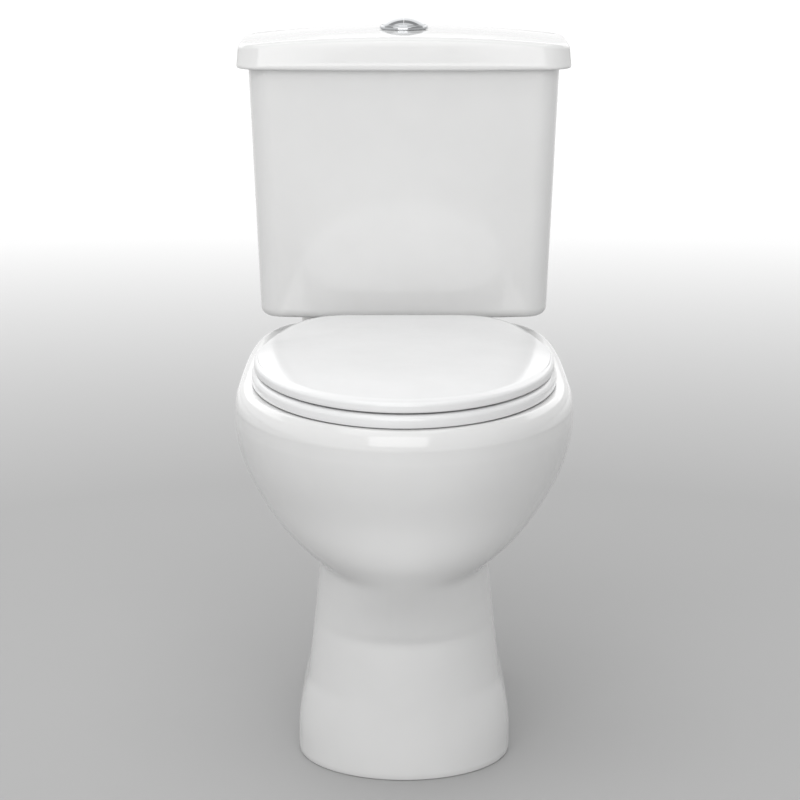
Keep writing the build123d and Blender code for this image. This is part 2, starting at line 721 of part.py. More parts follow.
def fill_valve_body():
    """Threaded shank, flange and riser, bored through."""
    nut_under = TANK_FLOOR_UNDER - 9
    body = cylinder(FILL_X, FILL_DEPTH, INLET_END, nut_under, INLET_PIPE_RADIUS)
    body += cylinder(FILL_X, FILL_DEPTH, nut_under, TANK_FLOOR + 3, SHANK_RADIUS)
    body += cylinder(FILL_X, FILL_DEPTH, TANK_FLOOR + 2, TANK_FLOOR + 6, 16.5)
    body += cylinder(FILL_X, FILL_DEPTH, TANK_FLOOR + 5, HEAD_UNDER, 9)
    return body - cylinder(FILL_X, FILL_DEPTH, INLET_END - 5, HEAD_UNDER + 5, 6)


def fill_valve_head():
    """Valve chamber on the riser, with two cheeks for the lever pin."""
    head = cylinder(FILL_X, FILL_DEPTH, HEAD_UNDER, HEAD_UNDER + 30, 16.5)
    for side in (-1, 1):
        low, high = sorted((FILL_X + side * 4.5, FILL_X + side * 7.5))
        head += block(low, high, LEVER_PIVOT_DEPTH - 7, FILL_DEPTH - 10, LEVER_Z - 8, LEVER_Z + 8)
    head -= block(FILL_X - 4.5, FILL_X + 4.5, LEVER_PIVOT_DEPTH - 10, LEVER_PIVOT_DEPTH + 8,
                  LEVER_Z - 9, LEVER_Z + 9)
    return head - cross_pin(FILL_X - 10, FILL_X + 10, LEVER_PIVOT_DEPTH, LEVER_Z, 1.51)


def lever_pin():
    return cross_pin(FILL_X - 8, FILL_X + 8, LEVER_PIVOT_DEPTH, LEVER_Z, 1.5)


def fill_valve_lever():
    """Arm from the pin to the float link, which passes through its slot."""
    lever = block(FILL_X - 4, FILL_X + 4, FLOAT_DEPTH - 12, LEVER_PIVOT_DEPTH, LEVER_Z - 2.5, LEVER_Z + 2.5)
    lever += cross_pin(FILL_X - 4, FILL_X + 4, LEVER_PIVOT_DEPTH, LEVER_Z, 5)
    lever -= cross_pin(FILL_X - 5, FILL_X + 5, LEVER_PIVOT_DEPTH, LEVER_Z, 1.56)
    slot = block(FILL_X - 2.4, FILL_X + 2.4, FLOAT_DEPTH - 8, FLOAT_DEPTH + 8, LEVER_Z - 5, LEVER_Z + 5)
    return lever - slot


def fill_float():
    """Cup that is open below and traps air."""
    cup = cylinder(FILL_X, FLOAT_DEPTH, FLOAT_UNDER, FLOAT_UNDER + 50, 22)
    return cup - cylinder(FILL_X, FLOAT_DEPTH, FLOAT_UNDER - 5, FLOAT_UNDER + 48, 20)


def float_link():
    top = LEVER_Z + 10
    rod = cylinder(FILL_X, FLOAT_DEPTH, FLOAT_UNDER + 50, top, 1.6)
    return rod + cylinder(FILL_X, FLOAT_DEPTH, top, top + 3, 4)


def fill_valve_washer():
    return tube(FILL_X, FILL_DEPTH, TANK_FLOOR, TANK_FLOOR + 2, 16, SHANK_RADIUS + 0.05)


def fill_valve_nut():
    return tube(FILL_X, FILL_DEPTH, TANK_FLOOR_UNDER - 9, TANK_FLOOR_UNDER, 15.5, SHANK_RADIUS + 0.02)


NODES = {
    "pan_rim": pan_rim,
    "pan_bowl": pan_bowl,
    "pan_sump": pan_sump,
    "pan_foot": pan_foot,
    "pan_trap": pan_trap,
    "cistern": cistern,
    "cistern_lid": cistern_lid,
    "seat_ring": seat_ring,
    "seat_cover": seat_cover,
    "seat_bumpers": seat_bumpers,
    "cover_bumpers": cover_bumpers,
    "hinge_posts": hinge_posts,
    "hinge_pins": hinge_pins,
    "hinge_bolts": hinge_bolts,
    "hinge_washers": hinge_washers,
    "hinge_nuts": hinge_nuts,
    "button_bezel": button_bezel,
    "button_nut": button_nut,
    "button_full": lambda: button_half(1),
    "button_half": lambda: button_half(-1),
    "push_rod_full": lambda: push_rod(1),
    "push_rod_half": lambda: push_rod(-1),
    "button_spring_full": lambda: button_spring(1),
    "button_spring_half": lambda: button_spring(-1),
    "valve_base": valve_base,
    "valve_tower": valve_tower,
    "valve_seal_washer": valve_seal_washer,
    "valve_nut": valve_nut,
    "doughnut_seal": doughnut_seal,
    "overflow_tube": overflow_tube,
    "flush_seal": flush_seal,
    "plunger_full": lambda: plunger(1),
    "plunger_half": lambda: plunger(-1),
    "coupling_bolts": coupling_bolts,
    "coupling_rubbers": coupling_rubbers,
    "coupling_washers": coupling_washers,
    "coupling_wing_nuts": coupling_wing_nuts,
    "fill_valve_body": fill_valve_body,
    "fill_valve_head": fill_valve_head,
    "fill_valve_lever": fill_valve_lever,
    "lever_pin": lever_pin,
    "fill_float": fill_float,
    "float_link": float_link,
    "fill_valve_washer": fill_valve_washer,
    "fill_valve_nut": fill_valve_nut,
}


def main():
    os.makedirs("parts", exist_ok=True)
    for name, make in NODES.items():
        export_step(make(), "parts/" + name + ".step")


if __name__ == "__main__":
    main()
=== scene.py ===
import json
from math import asin, atan2, cos, pi, radians, sin, sqrt, tan

import bmesh
import bpy
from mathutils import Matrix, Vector, kdtree


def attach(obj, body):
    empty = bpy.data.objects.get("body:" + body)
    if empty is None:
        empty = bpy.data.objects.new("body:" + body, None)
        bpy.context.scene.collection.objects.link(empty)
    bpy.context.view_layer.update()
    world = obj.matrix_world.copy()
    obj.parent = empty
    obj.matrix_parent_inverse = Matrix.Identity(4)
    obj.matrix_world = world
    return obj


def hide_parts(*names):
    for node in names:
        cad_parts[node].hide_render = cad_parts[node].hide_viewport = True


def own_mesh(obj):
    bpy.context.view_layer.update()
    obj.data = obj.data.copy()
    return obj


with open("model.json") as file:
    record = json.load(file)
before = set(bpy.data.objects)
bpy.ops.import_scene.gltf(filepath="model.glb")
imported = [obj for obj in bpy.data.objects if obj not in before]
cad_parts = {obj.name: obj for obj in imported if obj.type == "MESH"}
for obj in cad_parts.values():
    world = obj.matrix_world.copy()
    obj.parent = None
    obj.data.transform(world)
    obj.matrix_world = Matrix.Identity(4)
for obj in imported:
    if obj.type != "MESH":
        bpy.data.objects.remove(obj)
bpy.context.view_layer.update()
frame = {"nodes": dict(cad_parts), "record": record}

nodes = frame["nodes"]
SLOT_OF = {part["node"]: part["material_slot"] for part in frame["record"]["subparts"]}


# ---- node helpers ----

def new_material(name):
    material = bpy.data.materials.new(name)
    material.use_nodes = True
    return material, material.node_tree, material.node_tree.nodes["Principled BSDF"]


def noise(tree, scale, detail=4.0):
    coords = tree.nodes.new("ShaderNodeTexCoord")
    texture = tree.nodes.new("ShaderNodeTexNoise")
    texture.inputs["Scale"].default_value = scale
    texture.inputs["Detail"].default_value = detail
    texture.inputs["Roughness"].default_value = 0.55
    tree.links.new(coords.outputs["Object"], texture.inputs["Vector"])
    return texture.outputs["Fac"]


def ramp(tree, value, low, high, color_low, color_high):
    node = tree.nodes.new("ShaderNodeValToRGB")
    node.color_ramp.elements[0].position = low
    node.color_ramp.elements[1].position = high
    node.color_ramp.elements[0].color = (*color_low, 1)
    node.color_ramp.elements[1].color = (*color_high, 1)
    tree.links.new(value, node.inputs["Fac"])
    return node.outputs["Color"]


def span(tree, value, low, high):
    """Maps a 0..1 value to low..high."""
    node = tree.nodes.new("ShaderNodeMapRange")
    node.inputs["To Min"].default_value = low
    node.inputs["To Max"].default_value = high
    tree.links.new(value, node.inputs["Value"])
    return node.outputs["Result"]


def bump(tree, shader, height, strength, distance, below=None):
    """Adds relief to a shader, on top of an earlier layer of relief if one is given."""
    node = tree.nodes.new("ShaderNodeBump")
    node.inputs["Strength"].default_value = strength
    node.inputs["Distance"].default_value = distance
    tree.links.new(height, node.inputs["Height"])
    if below is not None:
        tree.links.new(below, node.inputs["Normal"])
    tree.links.new(node.outputs["Normal"], shader.inputs["Normal"])
    return node.outputs["Normal"]


# ---- materials ----

def glaze():
    """Glazed china: an even white with soft waves and a fine orange-peel surface."""
    material, tree, shader = new_material("glaze")
    tone = noise(tree, 9.0, detail=3.0)
    color = ramp(tree, tone, 0.3, 0.75, (0.67, 0.67, 0.667), (0.70, 0.70, 0.697))
    tree.links.new(color, shader.inputs["Base Color"])
    tree.links.new(span(tree, noise(tree, 40.0), 0.09, 0.17), shader.inputs["Roughness"])
    shader.inputs["IOR"].default_value = 1.5
    shader.inputs["Coat Weight"].default_value = 0.5
    shader.inputs["Coat Roughness"].default_value = 0.07
    wave = bump(tree, shader, noise(tree, 14.0, detail=1.0), 0.12, 0.002)
    bump(tree, shader, noise(tree, 260.0, detail=2.0), 0.05, 0.0002, wave)
    return material


def moulded(name, low, high, rough, grain_scale, grain):
    """Moulded plastic with a fine surface and slight colour drift."""
    material, tree, shader = new_material(name)
    color = ramp(tree, noise(tree, 22.0, detail=3.0), 0.3, 0.75, low, high)
    tree.links.new(color, shader.inputs["Base Color"])
    tree.links.new(span(tree, noise(tree, 120.0), rough * 0.8, rough * 1.25), shader.inputs["Roughness"])
    bump(tree, shader, noise(tree, grain_scale, detail=2.0), grain, 0.0004)
    return material


def metal(name, low, high, rough, scratch=0.05):
    """Polished or plated metal; scratch is the strength of its fine marks."""
    material, tree, shader = new_material(name)
    shader.inputs["Metallic"].default_value = 1.0
    color = ramp(tree, noise(tree, 60.0), 0.3, 0.75, low, high)
    tree.links.new(color, shader.inputs["Base Color"])
    fine = noise(tree, 420.0, detail=6.0)
    tree.links.new(span(tree, fine, rough * 0.7, rough * 1.4), shader.inputs["Roughness"])
    bump(tree, shader, noise(tree, 1500.0, detail=3.0), scratch, 0.0002)
    return material


def rubber(name, low, high):
    material, tree, shader = new_material(name)
    color = ramp(tree, noise(tree, 80.0, detail=5.0), 0.3, 0.8, low, high)
    tree.links.new(color, shader.inputs["Base Color"])
    tree.links.new(span(tree, noise(tree, 200.0), 0.6, 0.85), shader.inputs["Roughness"])
    bump(tree, shader, noise(tree, 1200.0, detail=4.0), 0.15, 0.0004)
    return material


FINISH = {
    "china": glaze(),
    "seat_plastic": moulded("seat_plastic", (0.73, 0.732, 0.735), (0.755, 0.757, 0.76), 0.16, 300.0, 0.03),
    "soft_pad": rubber("soft_pad", (0.72, 0.72, 0.70), (0.80, 0.80, 0.78)),
    "hinge_metal": metal("hinge_metal", (0.70, 0.71, 0.72), (0.80, 0.81, 0.82), 0.14),
    "steel": metal("steel", (0.50, 0.50, 0.51), (0.64, 0.64, 0.65), 0.32, 0.12),
    "black_rubber": rubber("black_rubber", (0.018, 0.018, 0.019), (0.04, 0.04, 0.042)),
    "seal_rubber": rubber("seal_rubber", (0.35, 0.05, 0.04), (0.46, 0.08, 0.06)),
    "nut_plastic": moulded("nut_plastic", (0.68, 0.68, 0.66), (0.78, 0.78, 0.76), 0.42, 900.0, 0.12),
    "wing_nut_metal": metal("wing_nut_metal", (0.62, 0.47, 0.22), (0.76, 0.62, 0.33), 0.28, 0.12),
    "button_chrome": metal("button_chrome", (0.42, 0.43, 0.44), (0.50, 0.51, 0.52), 0.07, 0.02),
    "rod_plastic": moulded("rod_plastic", (0.62, 0.63, 0.65), (0.70, 0.71, 0.73), 0.42, 900.0, 0.12),
    "valve_white": moulded("valve_white", (0.78, 0.78, 0.77), (0.84, 0.84, 0.83), 0.30, 900.0, 0.08),
    "valve_grey": moulded("valve_grey", (0.25, 0.27, 0.29), (0.33, 0.35, 0.37), 0.42, 900.0, 0.12),
    "valve_blue": moulded("valve_blue", (0.03, 0.09, 0.30), (0.05, 0.13, 0.38), 0.38, 900.0, 0.10),
    "float_white": moulded("float_white", (0.74, 0.75, 0.75), (0.82, 0.83, 0.83), 0.34, 900.0, 0.08),
}


def dress(obj, slot):
    obj.data.materials.clear()
    obj.data.materials.append(FINISH[slot])


for name, obj in nodes.items():
    dress(obj, SLOT_OF[name])


# ---- sizes in millimetres ----
# Most are the CAD's. A depth is measured back from the front of the rim, and a Z up from the floor.

MM = 0.001
ORIGIN_DEPTH = 330.0         # depth of the frame's origin
COLUMNS = 256                # points round an outline of the pan or the seat
HARD_EDGE = 40.0             # angle between faces, in degrees, from which an edge is shaded hard
INNER_CORNER = 26.0          # angle from which soften() takes an edge for a corner

CHINA = 12.0
BOWL_HALF_WIDTH = 185.5
BOWL_FRONT = 0.4
BOWL_MIDDLE = 250.0
BOWL_WIDEST_Z = 368.0
BOWL_SIDE_DROP = 165.0       # from there down to where the curve of the sides ends
BOWL_FRONT_DROP = 215.0      # and to where the curve of the front ends
NECK_Z = 215.0
NECK_HALF_WIDTH = 91.0
NECK_BLEND = 80.0            # wider than the CAD's
PEDESTAL_SLOPE = 0.104
FOOT_FRONT = 73.0
FOOT_MIDDLE = 184.0
FOOT_BACK = 470.0
FOOT_HALF_WIDTH = 115.5
FOOT_FLARE_Z = 84.0          # the foot spreads below this
RIM_TOP = 400.0
DECK_UNDER = 372.0
DECK_BACK = 606.0
DECK_FILLET = 10.0
DECK_SQUARENESS = 5.5
DECK_TAPER = 0.07
OPENING_HALF_WIDTH = 122.0
OPENING_FRONT = 50.0
OPENING_MIDDLE = 215.0
OPENING_BACK = 365.0
LIP_UNDER = 352
SUMP_MIDDLE = 286
SUMP_FLOOR = 40.0
SUMP_FILLET_Z = 52
LUG_X = 95
LUG_DEPTH = 440
LUG_RADIUS = 17
LUG_HEIGHT = 14
TRAP_OUTSIDE = 43.0
TRAP_BORE = 33.0
TRAP_Z = 73.0
TRAP_BEND = 52.0
SLOPE_START = 350.0
SLOPE_END = 420.0
OUTLET_Z = 190.0
OUTLET_END = 640

BACK = 660.0                 # of the tank and the lid
BACK_CORNER = 12.0
TANK_UNDER = 418.0
TANK_FLOOR = 428
TANK_TOP = 724.0
TANK_BOTTOM_HALF_WIDTH = 170.5
TANK_TOP_HALF_WIDTH = 182.5
TANK_BOTTOM_FRONT = 512.0
TANK_TOP_FRONT = 492.0
TANK_BOW = 10.0
TANK_CORNER = 28.0
TANK_WALL = 9
WALL_HOLE_X = 100
WALL_HOLE_Z = 680
COUPLING_X = 80
FILL_X = -115
FILL_DEPTH = 625
VALVE_DEPTH = 565.0
LID_UNDER = 716.0
LID_CROWN = 757.0
LID_HALF_WIDTH = 196.0
LID_FRONT = 482.0
LID_TAPER = 3
LID_TAPER_HEIGHT = 46.0
LID_BOW = 11.0
LID_CORNER = 32.0
LID_ARCH_RADIUS = 1500
LID_SKIRT_Z = 719            # above the rounded lower edge
LID_EDGE_Z = 744             # height whose outline the top edge follows

SEAT_MIDDLE = 255.0
SEAT_SQUARENESS = 8.0
SEAT_TAPER = 0.36
RING_HALF_WIDTH = 167.0
RING_FRONT = 8.0
RING_BACK = 416.0
COVER_HALF_WIDTH = 164.5
COVER_FRONT = 10.0
COVER_BACK = 449.0
COVER_TOP = 436.0
COVER_WALL = 3.2
COVER_EDGE_Z = 423
HINGE_X = 77.5
HINGE_DEPTH = 432
HINGE_Z = 424
EAR_RADIUS = 7
EAR_WIDTH = 10
PIN_BORE = 3.05

BUTTON_HOLE = 26.2
BUTTON_RADIUS = 25.2
BUTTON_SPLIT = 0.2           # from the middle to the flat side of each half
DOME_TOP = 770.7             # 1.7 above the CAD's
DOME_RADIUS = 42.4
ROD_X = 18.0
SPRING_FOOT = 723.7
SPRING_LENGTH = 24.6
SPRING_PITCH = 5.2
SPRING_RADIUS = 5.6
WIRE_RADIUS = 0.5


# ---- outlines ----

def y_at(depth):
    return depth - ORIGIN_DEPTH


def smooth_step(t):
    t = min(max(t, 0.0), 1.0)
    return t * t * (3 - 2 * t)


def blend_max(a, b, size):
    """The larger of two values, with a smooth change from one to the other."""
    return (a + b + sqrt((a - b) ** 2 + size ** 2)) / 2


def egg(half_width, front, middle, back, square=2.5, taper=0.0, power=2.0):
    """Closed outline with an elliptical front and a squarer, tapering back."""
    points = []
    for i in range(COLUMNS):
        angle = 2 * pi * i / COLUMNS
        c = cos(angle)
        s = sin(angle)
        n = square if s > 0 else 2.0
        reach = back - middle if s > 0 else middle - front
        r = ((abs(c) / half_width) ** n + (abs(s) / reach) ** n) ** (-1 / n)
        along = max(r * s / reach, 0.0)
        points.append((r * c * (1 - taper * along ** power), y_at(middle + r * s)))
    return points


def lift(outline, z):
    """An outline as a ring at one height."""
    return [(x, y, z) for x, y in outline]


def between(a, b, t):
    """Points at a share t of the way from one outline or ring to another."""
    return [tuple(p + (q - p) * t for p, q in zip(u, v)) for u, v in zip(a, b)]


def circle(radius, x, depth, z, count):
    """A level ring round a vertical line."""
    return [(x + radius * cos(2 * pi * i / count), y_at(depth) + radius * sin(2 * pi * i / count), z)
            for i in range(count)]


def steps(count):
    """0 to 90 degrees in radians, for rounding an edge."""
    return [pi / 2 * i / count for i in range(count + 1)]


# ---- mesh helpers ----

def finish_shading(mesh):
    mesh.polygons.foreach_set("use_smooth", [True] * len(mesh.polygons))
    mesh.set_sharp_from_angle(angle=radians(HARD_EDGE))


def to_object(name, bm):
    bmesh.ops.recalc_face_normals(bm, faces=bm.faces)
    mesh = bpy.data.meshes.new(name)
    bm.to_mesh(mesh)
    bm.free()
    finish_shading(mesh)
    obj = bpy.data.objects.new(name, mesh)
    bpy.context.scene.collection.objects.link(obj)
    return obj


def skin(name, rings, looped=False):
    """A closed surface through a stack of rings: capped at both ends, or joined end to start."""
    bm = bmesh.new()
    rows = [[bm.verts.new((x * MM, y * MM, z * MM)) for x, y, z in ring] for ring in rings]
    following = rows[1:] + rows[:1] if looped else rows[1:]
    for low, high in zip(rows, following):
        for i in range(len(low)):
            j = (i + 1) % len(low)
            bm.faces.new((low[i], low[j], high[j], high[i]))
    if not looped:
        for row in (rows[0], rows[-1]):
            middle = bm.verts.new(sum((v.co for v in row), Vector()) / len(row))
            for i in range(len(row)):
                bm.faces.new((row[i], row[(i + 1) % len(row)], middle))
    return to_object(name, bm)


def combine(obj, tool, operation):
    """Boolean of two closed meshes; the tool is used up."""
    modifier = obj.modifiers.new("combine", "BOOLEAN")
    modifier.operation = operation
    modifier.solver = "MANIFOLD"
    modifier.object = tool
    graph = bpy.context.evaluated_depsgraph_get()
    mesh = bpy.data.meshes.new_from_object(obj.evaluated_get(graph))
    obj.modifiers.clear()
    obj.data = mesh
    bpy.data.objects.remove(tool)
    finish_shading(mesh)


def turned(name, x, depth, profile, count=96):
    """Closed solid of revolution about a vertical line; the profile is (radius, z) pairs."""
    return skin(name, [circle(radius, x, depth, z, count) for radius, z in profile])


def drill(obj, x, depth, z_low, z_high, radius):
    """A vertical bore."""
    combine(obj, turned("drill", x, depth, [(radius, z_low), (radius, z_high)]), "DIFFERENCE")


def cross_drill(obj, x_low, x_high, depth, z, radius):
    """A bore along X."""
    rings = []
    for x in (x_low, x_high):
        rings.append([(x, y_at(depth) + radius * cos(2 * pi * i / 48), z + radius * sin(2 * pi * i / 48))
                      for i in range(48)])
    combine(obj, skin("drill", rings), "DIFFERENCE")


def wall_drill(obj, x, z, radius):
    """A bore along the depth, through the back wall of the tank."""
    rings = []
    for depth in (BACK - 20, BACK + 5):
        rings.append([(x + radius * cos(2 * pi * i / 48), y_at(depth), z + radius * sin(2 * pi * i / 48))
                      for i in range(48)])
    combine(obj, skin("drill", rings), "DIFFERENCE")


def soften(obj, region, reach, rounds):
    """Rounds the corners where joined shapes meet, inside a region, by relaxing the mesh near them."""
    bm = bmesh.new()
    bm.from_mesh(obj.data)
    bmesh.ops.triangulate(bm, faces=[f for f in bm.faces if len(f.verts) > 4])
    limit = radians(INNER_CORNER)
    corners = [e for e in bm.edges if len(e.link_faces) == 2 and e.calc_face_angle(0) > limit]
    seeds = {v for e in corners for v in e.verts if region(v.co)}
    tree = kdtree.KDTree(len(seeds))
    for i, v in enumerate(seeds):
        tree.insert(v.co, i)
    tree.balance()
    moving = []
    for v in bm.verts:
        gap = tree.find(v.co)[2]
        if gap is not None and gap < reach:
            moving.append((v, 0.5 * smooth_step(1 - gap / reach)))
    for _round in range(rounds):
        targets = []
        for v, weight in moving:
            total = Vector()
            mass = 0.0
            for e in v.link_edges:
                pull = 1 / max(e.calc_length(), 0.0005)
                total += e.other_vert(v).co * pull
                mass += pull
            targets.append(v.co.lerp(total / mass, weight))
        for (v, _weight), target in zip(moving, targets):
            v.co = target
    bm.to_mesh(obj.data)
    bm.free()
    finish_shading(obj.data)


# ---- pan ----

def body_half_width(z):
    """Half width of the outside: the bowl above, the pedestal and its wider foot below."""
    drop = min(max(BOWL_WIDEST_Z - z, 0.0) / BOWL_SIDE_DROP, 1.0)
    bowl = BOWL_HALF_WIDTH * sqrt(1 - drop ** 2)
    t = min(max((FOOT_FLARE_Z - z) / 60.0, 0.0), 1.0)
    straight = NECK_HALF_WIDTH + PEDESTAL_SLOPE * (NECK_Z - max(z, FOOT_FLARE_Z))
    foot = straight + (FOOT_HALF_WIDTH - straight) * t * (2 - t)
    return blend_max(bowl, foot, 9.0)


def body_front(z):
    """Depth of the front of the bowl and pedestal, with a wide curve at the neck between them."""
    drop = min(max(BOWL_WIDEST_Z - z, 0.0) / BOWL_FRONT_DROP, 1.0)
    bowl = BOWL_FRONT + BOWL_MIDDLE * (1 - sqrt(1 - drop ** 2))
    pedestal = FOOT_FRONT + 0.06 * z
    blend = NECK_BLEND * smooth_step((330 - z) / 90) * smooth_step(z / 160)
    return -blend_max(-bowl, -pedestal, blend)


def body_outline(z, inset=0.0):
    """Outside of the pan below the deck."""
    t = smooth_step((z - 190) / 110)
    middle = FOOT_MIDDLE + (BOWL_MIDDLE - FOOT_MIDDLE) * t
    back = FOOT_BACK - 60 * smooth_step((z - 150) / 150) + 5 * t
    return egg(body_half_width(z) - inset, body_front(z) + inset, middle, back - inset, 3.0 - 0.5 * t)


def deck_outline(inset):
    """Outside of the rim and the deck behind it."""
    back = DECK_BACK - inset
    return egg(BOWL_HALF_WIDTH - inset, BOWL_FRONT + inset, BOWL_MIDDLE, back, DECK_SQUARENESS, DECK_TAPER)


def bowl_outline(z, grow=0.0):
    """Inside of the bowl, which narrows to the sump at the bottom."""
    drop = min((BOWL_WIDEST_Z - z) / BOWL_SIDE_DROP, 1.0)
    wide = BOWL_HALF_WIDTH * sqrt(1 - drop ** 2) - CHINA - 1
    rise = (z - SUMP_FLOOR) / 180
    half_width = blend_max(wide, 22 + 56 * rise ** 0.6, 9.0)
    drop = min((BOWL_WIDEST_Z - z) / BOWL_FRONT_DROP, 1.0)
    near = BOWL_MIDDLE * (1 - sqrt(1 - drop ** 2)) + CHINA + 1
    front = -blend_max(-near, -(248 - 153 * min(rise, 1.0) ** 0.8), 20.0)
    middle = SUMP_MIDDLE - 36 * smooth_step((z - 60) / 180)
    back = 403 - 81 * (1 - (z - SUMP_FLOOR) / 348) ** 2
    return egg(half_width + grow, front - grow, middle, back + grow, 2.4)


def opening_outline(grow=0.0):
    """The opening inside the rim."""
    return egg(OPENING_HALF_WIDTH + grow, OPENING_FRONT - grow, OPENING_MIDDLE, OPENING_BACK + grow, 2.4)


def foot_rings():
    """From the roof of the hollow foot, down its inside and round the foot ring."""
    rings = [lift(body_outline(z, CHINA), z) for z in (185, 160, 135, 110, 90, 70, 50, 32, 18, 8, 3)]
    ring_edge = ((1, 11), (0, 9.5), (0, 6), (0, 2.5), (0.8, 0.8))
    return rings + [lift(body_outline(z, inset), z) for z, inset in ring_edge]


def wall_rings():
    """Outside of the pan, up to the fillet under the deck."""
    low = 2.5
    high = DECK_UNDER - DECK_FILLET
    heights = [low + (high - low) * i / 76 for i in range(76)]
    return [lift(body_outline(z), z) for z in heights]


def flange_rings():
    """From the wall out to the edge of the deck, which the front and sides pass straight up."""
    body = body_outline(DECK_UNDER)
    deck = deck_outline(0)
    gaps = [sqrt((a[0] - b[0]) ** 2 + (a[1] - b[1]) ** 2) for a, b in zip(body, deck)]
    shares = [smooth_step(gap / 25) for gap in gaps]
    rings = []
    for t in steps(6):
        ring = []
        z = DECK_UNDER - DECK_FILLET + DECK_FILLET * sin(t)
        for (x, y), (u, v), gap in zip(body, deck, gaps):
            out = min(DECK_FILLET, gap * 0.5) * (1 - cos(t)) / max(gap, 0.001)
            ring.append((x + (u - x) * out, y + (v - y) * out, z))
        rings.append(ring)
    start = rings[-1]
    edge = deck_outline(6)
    target = [(u + (p - u) * share, v + (q - v) * share) for (u, v), (p, q), share in zip(deck, edge, shares)]
    for row, t in enumerate((0.2, 0.45, 0.72, 1.0), 1):
        ring = []
        for (x, y, z), (u, v), share in zip(start, target, shares):
            ring.append((x + (u - x) * t, y + (v - y) * t, z + (1 - share) * 0.8 * row))
        rings.append(ring)
    ledge = rings[-1]
    edge_z = 378.4
    for t in steps(5)[1:]:
        ring = []
        for (x, y, z), (u, v) in zip(ledge, deck):
            ring.append((x + (u - x) * sin(t), y + (v - y) * sin(t), z + (edge_z - z) * (1 - cos(t))))
        rings.append(ring)
    return rings


def rim_rings():
    """Outer edge, top, opening, lip and the channel behind it."""
    rings = [lift(deck_outline(12 * (1 - cos(t))), RIM_TOP - 26 + 26 * sin(t)) for t in steps(18)[3:]]
    outer = lift(deck_outline(13.5), RIM_TOP)
    inner = lift(opening_outline(7), RIM_TOP)
    rings += [between(outer, inner, t) for t in (0.0, 0.12, 0.3, 0.5, 0.7, 0.88, 1.0)]
    rings += [lift(opening_outline(5 * (1 - sin(t))), RIM_TOP - 5 + 5 * cos(t)) for t in steps(6)]
    rings += [lift(opening_outline(), z) for z in (388, 380, 370, 362)]
    rings += [lift(opening_outline(4 * (1 - cos(t))), LIP_UNDER + 4 - 4 * sin(t)) for t in steps(5)]
    rings += [lift(opening_outline(9 - 3 * cos(t)), LIP_UNDER + 3 - 3 * cos(t)) for t in steps(3)[1:]]
    rings += [lift(opening_outline(9), z) for z in (360, 368, 376)]
    channel = lift(opening_outline(15), 384)
    wall = lift(bowl_outline(382, -3), 384)
    rings += [between(channel, wall, t) for t in (0.0, 0.35, 0.7, 1.0)]
    return rings


def bowl_rings():
    """Inside of the bowl, from under the rim down to the floor of the sump."""
    top = 379
    heights = [top - (top - SUMP_FILLET_Z) * i / 60 for i in range(61)]
    rings = [lift(bowl_outline(z), z) for z in heights]
    floor_rows = [(1 - 0.45 * (1 - cos(t)), SUMP_FILLET_Z - 12 * sin(t)) for t in steps(5)[1:]]
    floor_rows += [(share, SUMP_FLOOR) for share in (0.42, 0.28, 0.14, 0.04)]
    middle = y_at(SUMP_MIDDLE)
    for share, z in floor_rows:
        rings.append([(x * share, middle + (y - middle) * share, z) for x, y in bowl_outline(SUMP_FILLET_Z)])
    return rings


def trap_line(start, end):
    """(depth, height, slope) along the trap: level, up a slope with rounded ends, and level again."""
    slope = atan2(OUTLET_Z - TRAP_Z, SLOPE_END - SLOPE_START)
    cut = TRAP_BEND * tan(slope / 2)
    low_turn = SLOPE_START - cut
    high_turn = SLOPE_END + cut
    points = [(start, TRAP_Z, 0.0), (low_turn - 0.5, TRAP_Z, 0.0)]
    for i in range(13):
        a = slope * i / 12
        points.append((low_turn + TRAP_BEND * sin(a), TRAP_Z + TRAP_BEND - TRAP_BEND * cos(a), a))
    for i in range(13):
        a = slope * (12 - i) / 12
        points.append((high_turn - TRAP_BEND * sin(a), OUTLET_Z - TRAP_BEND + TRAP_BEND * cos(a), a))
    reach = end - high_turn
    points += [(high_turn + reach * i / 60, OUTLET_Z, 0.0) for i in range(1, 61)]
    return points


def trap_tube(start, end, radius_at):
    """A tube along the trap, with a radius that depends on the depth."""
    count = 96
    rings = []
    for depth, z, a in trap_line(start, end):
        r = radius_at(depth)
        rings.append([(r * cos(2 * pi * i / count), y_at(depth) - r * sin(a) * sin(2 * pi * i / count),
                       z + r * cos(a) * sin(2 * pi * i / count)) for i in range(count)])
    return skin("trap", rings)


def spigot_radius(depth):
    """The pipe widens into a spigot with three shallow grooves and a rounded end."""
    if depth < 560:
        return TRAP_OUTSIDE
    radius = TRAP_OUTSIDE + 8.0 * smooth_step((depth - 562) / 10)
    for groove in (592, 606, 620):
        radius -= 0.7 * smooth_step(1 - abs(depth - groove) / 3.5)
    return radius - 2.5 * smooth_step((depth - OUTLET_END + 6) / 6)


def bore_radius(depth):
    """Inside of the trap, wider in the spigot."""
    return TRAP_BORE + 9.0 * smooth_step((depth - 575) / 10)


def bar_ring(half_width, half_height, z, depth, square, inset):
    """A rounded rectangle that faces forward."""
    ring = []
    w = half_width - inset
    h = half_height - inset
    for i in range(96):
        angle = 2 * pi * i / 96
        c = cos(angle)
        s = sin(angle)
        r = ((abs(c) / w) ** square + (abs(s) / h) ** square) ** (-1 / square)
        ring.append((r * c, y_at(depth), z + r * s))
    return ring


